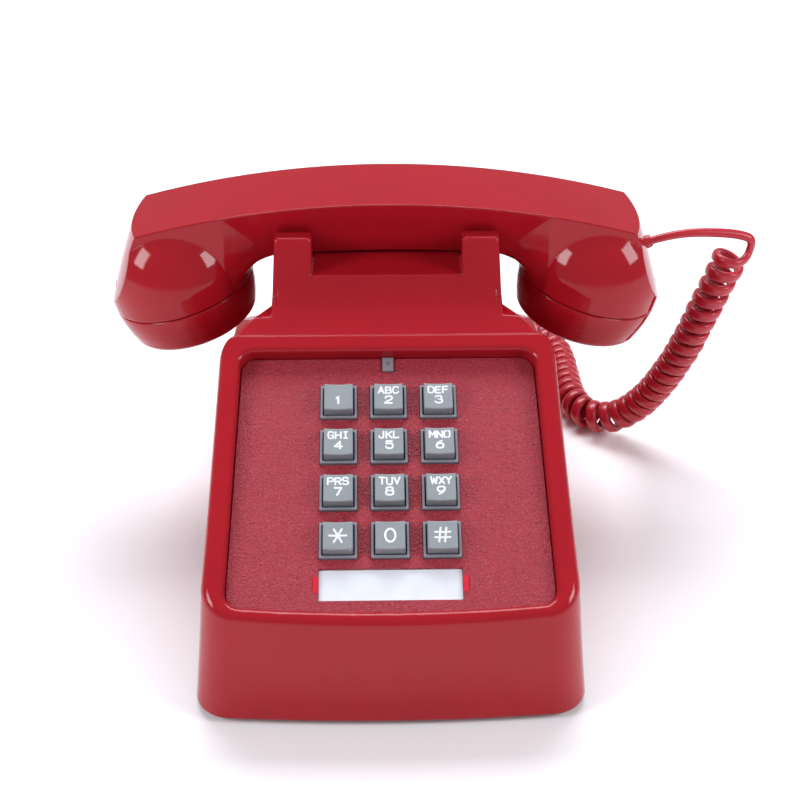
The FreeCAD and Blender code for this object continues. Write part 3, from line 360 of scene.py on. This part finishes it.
LEAD = [(0.102886, 0.0477994, 0.1157451), (0.1123139, 0.0482006, 0.1190549), (0.124, 0.050, 0.1204),
        (0.136, 0.0516, 0.1196), (0.1465, 0.0526, 0.1182), (0.1537989, 0.0524857, 0.1155666), (0.1520722, 0.053, 0.1093212)]
COIL = [(0.146, 0.053, 0.111), (0.1413, 0.0544, 0.094), (0.1364, 0.0566, 0.0755), (0.1318, 0.060, 0.056),
        (0.125, 0.0642, 0.0365), (0.117, 0.0686, 0.0205), (0.1068, 0.0726, 0.0102), (0.0958, 0.0776, 0.0082),
        (0.0896, 0.089, 0.0081), (0.088, 0.105, 0.0081), (0.0882, 0.123, 0.0081), (0.086, 0.1404, 0.0081),
        (0.0738, 0.1514, 0.0081), (0.056, 0.1525, 0.0081), (0.036, 0.1472, 0.0081), (0.014, 0.1424, 0.0081),
        (-0.008, 0.1419, 0.0081)]
TAIL = [(-0.008, 0.1419, 0.0081), (-0.0175, 0.1417, 0.0083), (-0.027, 0.1392, 0.010), (-0.0345, 0.1325, 0.0126),
        (-0.039, 0.1235, 0.0149), (-0.040, 0.1145, 0.0155), (-0.040, 0.1056, 0.0155)]
WIRE = 0.0032          # thickness of the flat cord
FLAT = 0.0050          # its width, which shows along the turns
HELIX_R = 0.0063

lead_line, lead_len = resample(route("lead_route", LEAD), 0.0007)
axis_line, axis_len = resample(route("coil_route", COIL), 0.0002)
tail_line, tail_len = resample(route("tail_route", TAIL), 0.0007)

# frame carried along the coil's centreline without twist
ax_t = tangents(axis_line)
side = (Vector(LEAD[-1]) - Vector(COIL[0])).normalized()
sides = []
for t in ax_t:
    side = (side - t * side.dot(t)).normalized()
    sides.append(side.copy())
step = axis_len / (len(axis_line) - 1)
curv = []
W = 20
for i in range(len(axis_line)):
    a, b = max(0, i - W), min(len(axis_line) - 1, i + W)
    curv.append(ax_t[a].angle(ax_t[b], 0.0) / max(1e-6, (b - a) * step))
helix, outs = [], []
phase = 0.0
last_phase = -1.0
RAMP = 0.0035
END = 0.0095
for i, c in enumerate(axis_line):
    s = i * step
    base_pitch = 0.0072 - 0.0018 * min(1.0, max(0.0, s - 0.02) / 0.080)
    pitch = max(base_pitch, 0.00515 / max(0.35, 1.0 - 0.0050 * curv[i]))
    rate = 2 * math.pi / pitch
    if s < RAMP:
        rate *= s / RAMP
    left = axis_len - s
    r = HELIX_R - 0.00045 * min(1.0, s / 0.012)
    if left < END:
        k = left / END
        r = r * (k * k * (3 - 2 * k))
        rate *= 0.35 + 0.65 * k
    t = ax_t[i]
    v = t.cross(sides[i])
    if phase - last_phase >= 2 * math.pi / 26 or i == len(axis_line) - 1 or (phase < 0.3 and i % 4 == 0):
        out = sides[i] * math.cos(phase) + v * math.sin(phase)
        # each turn is a hair larger or smaller, and sits a hair off the centreline
        turn = phase / (2 * math.pi)
        r2 = r * (1.0 + 0.012 * math.sin(turn * 1.9) + 0.008 * math.sin(turn * 5.3 + 1.0))
        helix.append(c + out * min(r2, HELIX_R))
        outs.append(out)
        last_phase = phase
    phase += rate * step
wire = lead_line + helix[1:] + tail_line[1:]
# even out the joins between the lead, the turns and the tail
n_lead, n_hel = len(lead_line), len(helix)
for _ in range(6):
    w2 = [p.copy() for p in wire]
    for a, b in ((n_lead - 6, n_lead + 5), (n_lead + n_hel - 14, n_lead + n_hel + 5)):
        for i in range(max(1, a), min(len(wire) - 1, b)):
            w2[i] = wire[i] * 0.5 + (wire[i - 1] + wire[i + 1]) * 0.25
    wire = w2


def tube_mesh(name, pts, half_w, half_t, hints, sides_n=16):
    """A flat oval cord. hints give the direction that its thin side faces, or None, where it turns with the line."""
    t = tangents(pts)
    thin = []
    first = next(h for h in hints if h is not None)
    u = first.copy()
    for p, d, h in zip(pts, t, hints):
        u = h.copy() if h is not None else u
        u = (u - d * u.dot(d)).normalized()
        thin.append(u.copy())
    # before the first turn the section keeps the way it has there, carried back along the lead
    k = next(i for i, h in enumerate(hints) if h is not None)
    u = thin[k].copy()
    for i in range(k - 1, -1, -1):
        u = (u - t[i] * u.dot(t[i])).normalized()
        thin[i] = u.copy()
    verts, faces = [], []
    n = len(pts)
    for i, (p, d) in enumerate(zip(pts, t)):
        u = thin[i]
        w = d.cross(u)
        f = min(1.0, i / 14.0)
        hw = half_t + (half_w - half_t) * flat_at[i]
        for q in range(sides_n):
            a = 2 * math.pi * q / sides_n
            ca, sa = math.cos(a), math.sin(a)
            e = 0.72 + 0.28 * (1.0 - flat_at[i])
            x = math.copysign(abs(ca) ** e, ca) * half_t
            y = math.copysign(abs(sa) ** e, sa) * hw
            verts.append(p + u * x + w * y)
    for i in range(n - 1):
        for q in range(sides_n):
            a, b = i * sides_n + q, i * sides_n + (q + 1) % sides_n
            faces.append((a, b, b + sides_n, a + sides_n))
    faces.append(tuple(range(sides_n - 1, -1, -1)))
    last = (n - 1) * sides_n
    faces.append(tuple(last + q for q in range(sides_n)))
    me = bpy.data.meshes.new(name)
    me.from_pydata([tuple(v) for v in verts], [], faces)
    me.polygons.foreach_set("use_smooth", [True] * len(me.polygons))
    me.update()
    ob = bpy.data.objects.new(name, me)
    scene.collection.objects.link(ob)
    return ob


hints = [None] * len(lead_line) + [o.copy() for o in outs[1:]] + [None] * (len(wire) - len(lead_line) - len(outs) + 1)
for i in range(n_lead, n_lead + 5):
    hints[i] = None
flat_at = []
for i in range(len(wire)):
    k = 1.0
    if i < n_lead:
        k = 0.35 * max(0.0, min(1.0, i / (0.6 * n_lead)))
    elif i < n_lead + 16:
        k = 0.35 + 0.65 * (i - n_lead) / 16.0
    elif i > n_lead + n_hel - 22:
        k = max(0.30, 1.0 - 0.7 * (i - (n_lead + n_hel - 22)) / 22.0)
    flat_at.append(k)
cord = tube_mesh("handset_cord", wire, FLAT / 2, WIRE / 2, hints)
cord.data.materials.append(MATS["cord"])
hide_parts("cord_lead", "cord_coil", "cord_tail")
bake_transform(cord)

# ------------------------------------------------------------------ key legends
TILT = math.radians(27.0)
PAD_Y, PAD_Z = (60.9 - 107.0) / 1000.0, 72.4 / 1000.0
ax_s = Vector((0.0, math.cos(TILT), math.sin(TILT)))
ax_n = Vector((0.0, -math.sin(TILT), math.cos(TILT)))
DISH_R, DISH_N = 0.022, 0.00540
ink = matt("legend_white", (0.84, 0.86, 0.88), (0.76, 0.78, 0.80), (0.4, 0.55), 1800.0, 0.1, 0.00005, None)


# letters and figures as single strokes on a grid 4 wide and 6 high; "r" strokes are rounded
GLYPH = {
    "A": ["0,0 2,6 4,0", "0.75,1.9 3.25,1.9"], "B": ["0,0 0,6", "r0,6 3.7,6 3.7,3.2 0,3.2", "r0,3.2 4.1,3.2 4.1,0 0,0"],
    "C": ["r4,4.9 3.6,6 0,6.4 0,-0.4 3.6,0 4,1.1"], "D": ["0,0 0,6", "r0,6 4.2,6.2 4.2,-0.2 0,0"],
    "E": ["3.6,6 0,6 0,0 3.6,0", "0,3.1 3.2,3.1"], "F": ["3.6,6 0,6 0,0", "0,3.1 3.1,3.1"],
    "G": ["r4,4.9 3.6,6 0,6.4 0,-0.4 3.7,0 4,1.0 4,2.7", "2.3,2.7 4,2.7"], "H": ["0,0 0,6", "4,0 4,6", "0,3.1 4,3.1"],
    "I": ["2,0 2,6", "0.8,6 3.2,6", "0.8,0 3.2,0"], "J": ["r3.4,6 3.4,0.6 3.0,0 0.4,-0.2 0.2,1.6"],
    "K": ["0,0 0,6", "3.9,6 0,2.4", "1.4,3.7 4,0"], "L": ["0,6 0,0 3.6,0"], "M": ["0,0 0,6 2.2,2.2 4.4,6 4.4,0"],
    "N": ["0,0 0,6 4,0 4,6"], "O": ["r2,6 0.2,6.2 -0.2,3 0.2,-0.2 2,0", "r2,6 3.8,6.2 4.2,3 3.8,-0.2 2,0"],
    "P": ["0,0 0,6", "r0,6 4.1,6.1 4.1,2.7 0,2.8"], "R": ["0,0 0,6", "r0,6 4.0,6.1 4.0,2.8 0,2.9", "1.9,2.9 4,0"],
    "S": ["r3.8,4.9 3.4,6.1 0.1,6.4 0.0,3.2 4.1,3.2 4.1,-0.4 0.5,0 0,1.2"], "T": ["0,6 4,6", "2,6 2,0"],
    "U": ["r0,6 0,0.8 0.6,-0.4 3.4,-0.4 4,0.8 4,6"], "V": ["0,6 2,0 4,6"], "W": ["0,6 1.2,0 2.5,4.6 3.8,0 5,6"],
    "X": ["0,6 4,0", "0,0 4,6"], "Y": ["0,6 2,3 4,6", "2,3 2,0"],
    "1": ["0.7,4.7 2.2,6 2.2,0"], "2": ["r0.2,4.6 0.5,6.1 4.0,6.4 4.1,3.4 2.2,2.4 0.1,0.7 0.1,0.1", "0.0,0 4,0"],
    "3": ["r0.2,5.0 0.6,6 3.9,6.3 3.9,3.2 1.6,3.2", "r1.6,3.2 4.2,3.2 4.2,-0.3 0.6,0 0.1,1.1"],
    "4": ["3.0,0 3.0,6 0,1.7 4.2,1.7"], "5": ["3.7,6 0.6,6 0.4,3.3", "r0.4,3.3 1.4,4.1 4.2,4.0 4.2,-0.4 0.6,-0.1 0.1,1.1"],
    "6": ["r3.2,6 0.9,4.4 0.0,2.4 0.1,-0.3 4.1,-0.3 4.1,3.7 1.2,3.9 0.2,2.2"], "7": ["0.1,6 4,6 1.5,0"],
    "8": ["r2,3.3 0.2,3.5 0.1,6.2 3.9,6.2 3.8,3.5 2,3.3", "r2,3.3 -0.2,3.2 -0.1,-0.3 4.1,-0.3 4.2,3.2 2,3.3"],
    "9": ["r3.8,3.8 2.8,2.1 -0.1,2.3 -0.1,6.3 4.1,6.3 4.0,3.6 3.1,1.6 0.8,0"],
}


def stroke(pts, w):
    """A ribbon of width w along points, with round ends and corners."""
    vs, fs = [], []
    for (x0, y0), (x1, y1) in zip(pts, pts[1:]):
        d = Vector((x1 - x0, y1 - y0))
        if d.length < 1e-9:
            continue
        d.normalize()
        nx, ny = -d.y * w / 2, d.x * w / 2
        k = len(vs)
        vs += [(x0 + nx, y0 + ny), (x1 + nx, y1 + ny), (x1 - nx, y1 - ny), (x0 - nx, y0 - ny)]
        fs.append((k, k + 1, k + 2, k + 3))
    for x, y in pts:
        k = len(vs)
        vs += [(x + w / 2 * math.cos(2 * math.pi * j / 12), y + w / 2 * math.sin(2 * math.pi * j / 12)) for j in range(12)]
        fs.append(tuple(range(k, k + 12)))
    return vs, fs


def round_off(pts, n=3):
    for _ in range(n):
        out = [pts[0]]
        for a, b in zip(pts, pts[1:]):
            out.append((a[0] * 0.75 + b[0] * 0.25, a[1] * 0.75 + b[1] * 0.25))
            out.append((a[0] * 0.25 + b[0] * 0.75, a[1] * 0.25 + b[1] * 0.75))
        out.append(pts[-1])
        pts = out
    return pts


def text_mesh(body, width, height, w, gap=1.55):
    """Text of that overall width and height, centred."""
    runs, x = [], 0.0
    for ch in body:
        adv = max(float(p.split(",")[0]) for g in GLYPH[ch] for p in g.lstrip("r").split()) if ch in "MW" else 4.0
        for g in GLYPH[ch]:
            pts = [tuple(float(c) for c in p.split(",")) for p in g.lstrip("r").split()]
            if g[0] == "r":
                pts = round_off(pts)
            runs.append([(a + x, b) for a, b in pts])
        x += adv + gap
    total = x - gap
    kx, ky = (width - w) / total, (height - w) / 6.0
    vs, fs = [], []
    for pts in runs:
        a, b = stroke([((p[0] - total / 2) * kx, (p[1] - 3.0) * ky) for p in pts], w)
        k = len(vs)
        vs += a
        fs += [tuple(k + i for i in f) for f in b]
    return vs, fs


def bar(x0, y0, x1, y1, w):
    d = Vector((x1 - x0, y1 - y0))
    d.normalize()
    n = Vector((-d.y, d.x)) * w / 2
    a, b = Vector((x0, y0)), Vector((x1, y1))
    return [tuple(a + n), tuple(b + n), tuple(b - n), tuple(a - n)], [(0, 1, 2, 3)]


def ring(rx, ry, w, n=40):
    vs = []
    for k in range(n):
        a = 2 * math.pi * k / n
        vs.append(((rx) * math.cos(a), (ry) * math.sin(a)))
        vs.append(((rx - w) * math.cos(a), (ry - w) * math.sin(a)))
    fs = [(2 * k, 2 * ((k + 1) % n), 2 * ((k + 1) % n) + 1, 2 * k + 1) for k in range(n)]
    return vs, fs


MM = 0.001
LEG = {}
for name, letters, digit in (("key_2", "ABC", "2"), ("key_3", "DEF", "3"), ("key_4", "GHI", "4"), ("key_5", "JKL", "5"),
                             ("key_6", "MNO", "6"), ("key_7", "PRS", "7"), ("key_8", "TUV", "8"), ("key_9", "WXY", "9")):
    LEG[name] = [(text_mesh(letters, 8.2 * MM, 3.3 * MM, 0.68 * MM), (0.0, 2.35 * MM)),
                 (text_mesh(digit, 3.3 * MM, 3.6 * MM, 0.76 * MM), (0.0, -1.75 * MM))]
LEG["key_1"] = [(text_mesh("1", 2.6 * MM, 3.6 * MM, 0.78 * MM), (-0.15 * MM, -1.75 * MM))]
LEG["key_0"] = [(ring(2.25 * MM, 2.95 * MM, 0.82 * MM), (0.0, -0.3 * MM))]
LEG["key_star"] = [(stroke([(-r * MM * math.cos(a), -r * MM * math.sin(a)), (r * MM * math.cos(a), r * MM * math.sin(a))], 0.80 * MM), (0.0, -0.3 * MM))
                   for r, a in ((3.1, 0.0), (2.9, math.radians(60)), (2.9, math.radians(120)))]
LEG["key_hash"] = [(stroke(p, 0.76 * MM), (0.0, -0.3 * MM)) for o in (-1.05, 1.05) for p in (
    [((o - 0.30) * MM, -2.7 * MM), ((o + 0.30) * MM, 2.7 * MM)], [(-2.75 * MM, o * MM), (2.75 * MM, o * MM)])]

for key, items in LEG.items():
    lo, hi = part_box(key)
    c = (lo + hi) / 2
    x0 = c.x
    # the key's centre along the panel, from its place in the frame
    rel = Vector((0.0, c.y - PAD_Y, c.z - PAD_Z))
    s0 = rel.dot(ax_s)
    verts, faces = [], []
    for (vs, fs), (ox, oy) in items:
        base = len(verts)
        # a short run of cuts lets each stroke follow the dish
        for x, y in vs:
            X, S = x + ox, y + oy
            n = DISH_N + DISH_R - math.sqrt(DISH_R ** 2 - X * X) + 0.00004
            verts.append(Vector((x0 + X, PAD_Y, PAD_Z)) + ax_s * (s0 + S) + ax_n * n)
        faces += [tuple(base + i for i in f) for f in fs]
    me = bpy.data.meshes.new("legend_" + key)
    me.from_pydata([tuple(v) for v in verts], [], faces)
    me.update()
    # raise the paint by a hair and make sure that it faces outwards
    import bmesh
    bm = bmesh.new()
    bm.from_mesh(me)
    bmesh.ops.subdivide_edges(bm, edges=[e for e in bm.edges if e.calc_length() > 0.0012], cuts=2, use_grid_fill=True)
    for v in bm.verts:
        d = v.co - Vector((x0, PAD_Y, PAD_Z))
        want = DISH_N + DISH_R - math.sqrt(DISH_R ** 2 - d.x * d.x) + 0.00004
        v.co += ax_n * (want - d.dot(ax_n))
    bm.normal_update()
    for f in bm.faces:
        if f.normal.dot(ax_n) < 0:
            f.normal_flip()
    bm.to_mesh(me)
    bm.free()
    ob = bpy.data.objects.new("legend_" + key, me)
    ob.data.materials.append(ink)
    scene.collection.objects.link(ob)
    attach(ob, key)

# ------------------------------------------------------------------ tab liners, painted light
# the wells under the window's side tabs are painted a brighter red: painted light, standing in for the light that the
# clear tabs pass down to the panel
tab_painted_light = Mat("tab_well_painted_light_red").set(ior=1.45, coat=0.3, coat_rough=0.05)
_n = tab_painted_light.noise(300.0, 4.0, 0.6)
# painted light: this bright red stands in for light let through the clear tabs
tab_painted_light.color_from(tab_painted_light.remap(_n, 0.0, 1.0, 0.35, 0.7), (0.72, 0.018, 0.045), (0.58, 0.014, 0.030))
tab_painted_light.rough_from(_n, 0.14, 0.26)
tab_painted_light.bump([(tab_painted_light.noise(900.0, 3.0, 0.6), 0.1, 0.0001)])
w_lo, w_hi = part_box("number_card_window")
c_lo, c_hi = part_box("number_card")
rel = Vector((0.0, (w_lo.y + w_hi.y) / 2 - PAD_Y, (w_lo.z + w_hi.z) / 2 - PAD_Z))
s_mid = rel.dot(ax_s)
for sx, name in ((-1, "left"), (1, "right")):
    x_in = c_hi.x + 0.0001 if sx > 0 else c_lo.x - 0.0001
    x_out = c_hi.x + 0.0022 if sx > 0 else c_lo.x - 0.0022
    half, r = 0.00310, 0.0004
    cx, hx = (x_in + x_out) / 2, abs(x_out - x_in) / 2
    ringp = []
    for qx, qy, a0 in ((1, 1, 0), (-1, 1, 90), (-1, -1, 180), (1, -1, 270)):
        for j in range(5):
            a = math.radians(a0 + 22.5 * j)
            ringp.append((cx + qx * (hx - r) + r * math.cos(a), s_mid + qy * (half - r) + r * math.sin(a)))
    verts, faces = [], []
    for n_off in (0.00008, 0.00016):
        for x, y in ringp:
            verts.append(Vector((x, PAD_Y, PAD_Z)) + ax_s * y + ax_n * n_off)
    q = len(ringp)
    faces.append(tuple(range(q - 1, -1, -1)))
    faces.append(tuple(range(q, 2 * q)))
    for i in range(q):
        j = (i + 1) % q
        faces.append((i, j, q + j, q + i))
    me = bpy.data.meshes.new("tab_well_" + name)
    me.from_pydata([tuple(v) for v in verts], [], faces)
    me.update()
    ob = bpy.data.objects.new("window_tab_painted_light_" + name, me)
    ob.data.materials.append(tab_painted_light.m)
    scene.collection.objects.link(ob)
    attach(ob, "base")

# ------------------------------------------------------------------ floor and light
floor_mat = Mat("studio_floor").set(color=(0.97, 0.97, 0.97), rough=0.75, spec=0.10)
_f = floor_mat.noise(3.0, 3.0, 0.5)
floor_mat.rough_from(_f, 0.7, 0.85)
me = bpy.data.meshes.new("studio_floor")
me.from_pydata([(-8, -8, 0), (8, -8, 0), (8, 8, 0), (-8, 8, 0)], [], [(0, 1, 2, 3)])
floor = bpy.data.objects.new("studio_floor", me)
floor.data.materials.append(floor_mat.m)
scene.collection.objects.link(floor)

world = bpy.data.worlds.new("studio")
world.use_nodes = True
bg = world.node_tree.nodes["Background"]
bg.inputs["Color"].default_value = (0.93, 0.94, 1.0, 1.0)
bg.inputs["Strength"].default_value = 0.42
scene.world = world


def area(name, loc, target, size, power, size_y=None, color=(1, 1, 1)):
    li = bpy.data.lights.new(name, "AREA")
    li.shape = "RECTANGLE"
    li.size = size
    li.size_y = size_y or size
    li.energy = power
    li.color = color
    ob = bpy.data.objects.new(name, li)
    ob.location = loc
    d = Vector(target) - Vector(loc)
    ob.rotation_euler = d.to_track_quat("-Z", "Y").to_euler()
    scene.collection.objects.link(ob)
    return ob


area("softbox_left", (-0.86, -0.40, 0.62), (0, 0.04, 0.10), 0.32, 4.9, 0.44, (0.97, 0.97, 1.0))
area("softbox_right", (0.84, -0.36, 0.62), (0, 0.04, 0.10), 0.32, 4.5, 0.44, (0.97, 0.97, 1.0))
area("softbox_top", (0.0, 0.80, 1.35), (0, 0.05, 0.10), 1.2, 21.0, 0.6, (0.93, 0.94, 1.0))
scene.view_settings.view_transform = "Standard"
scene.view_settings.look = "None"
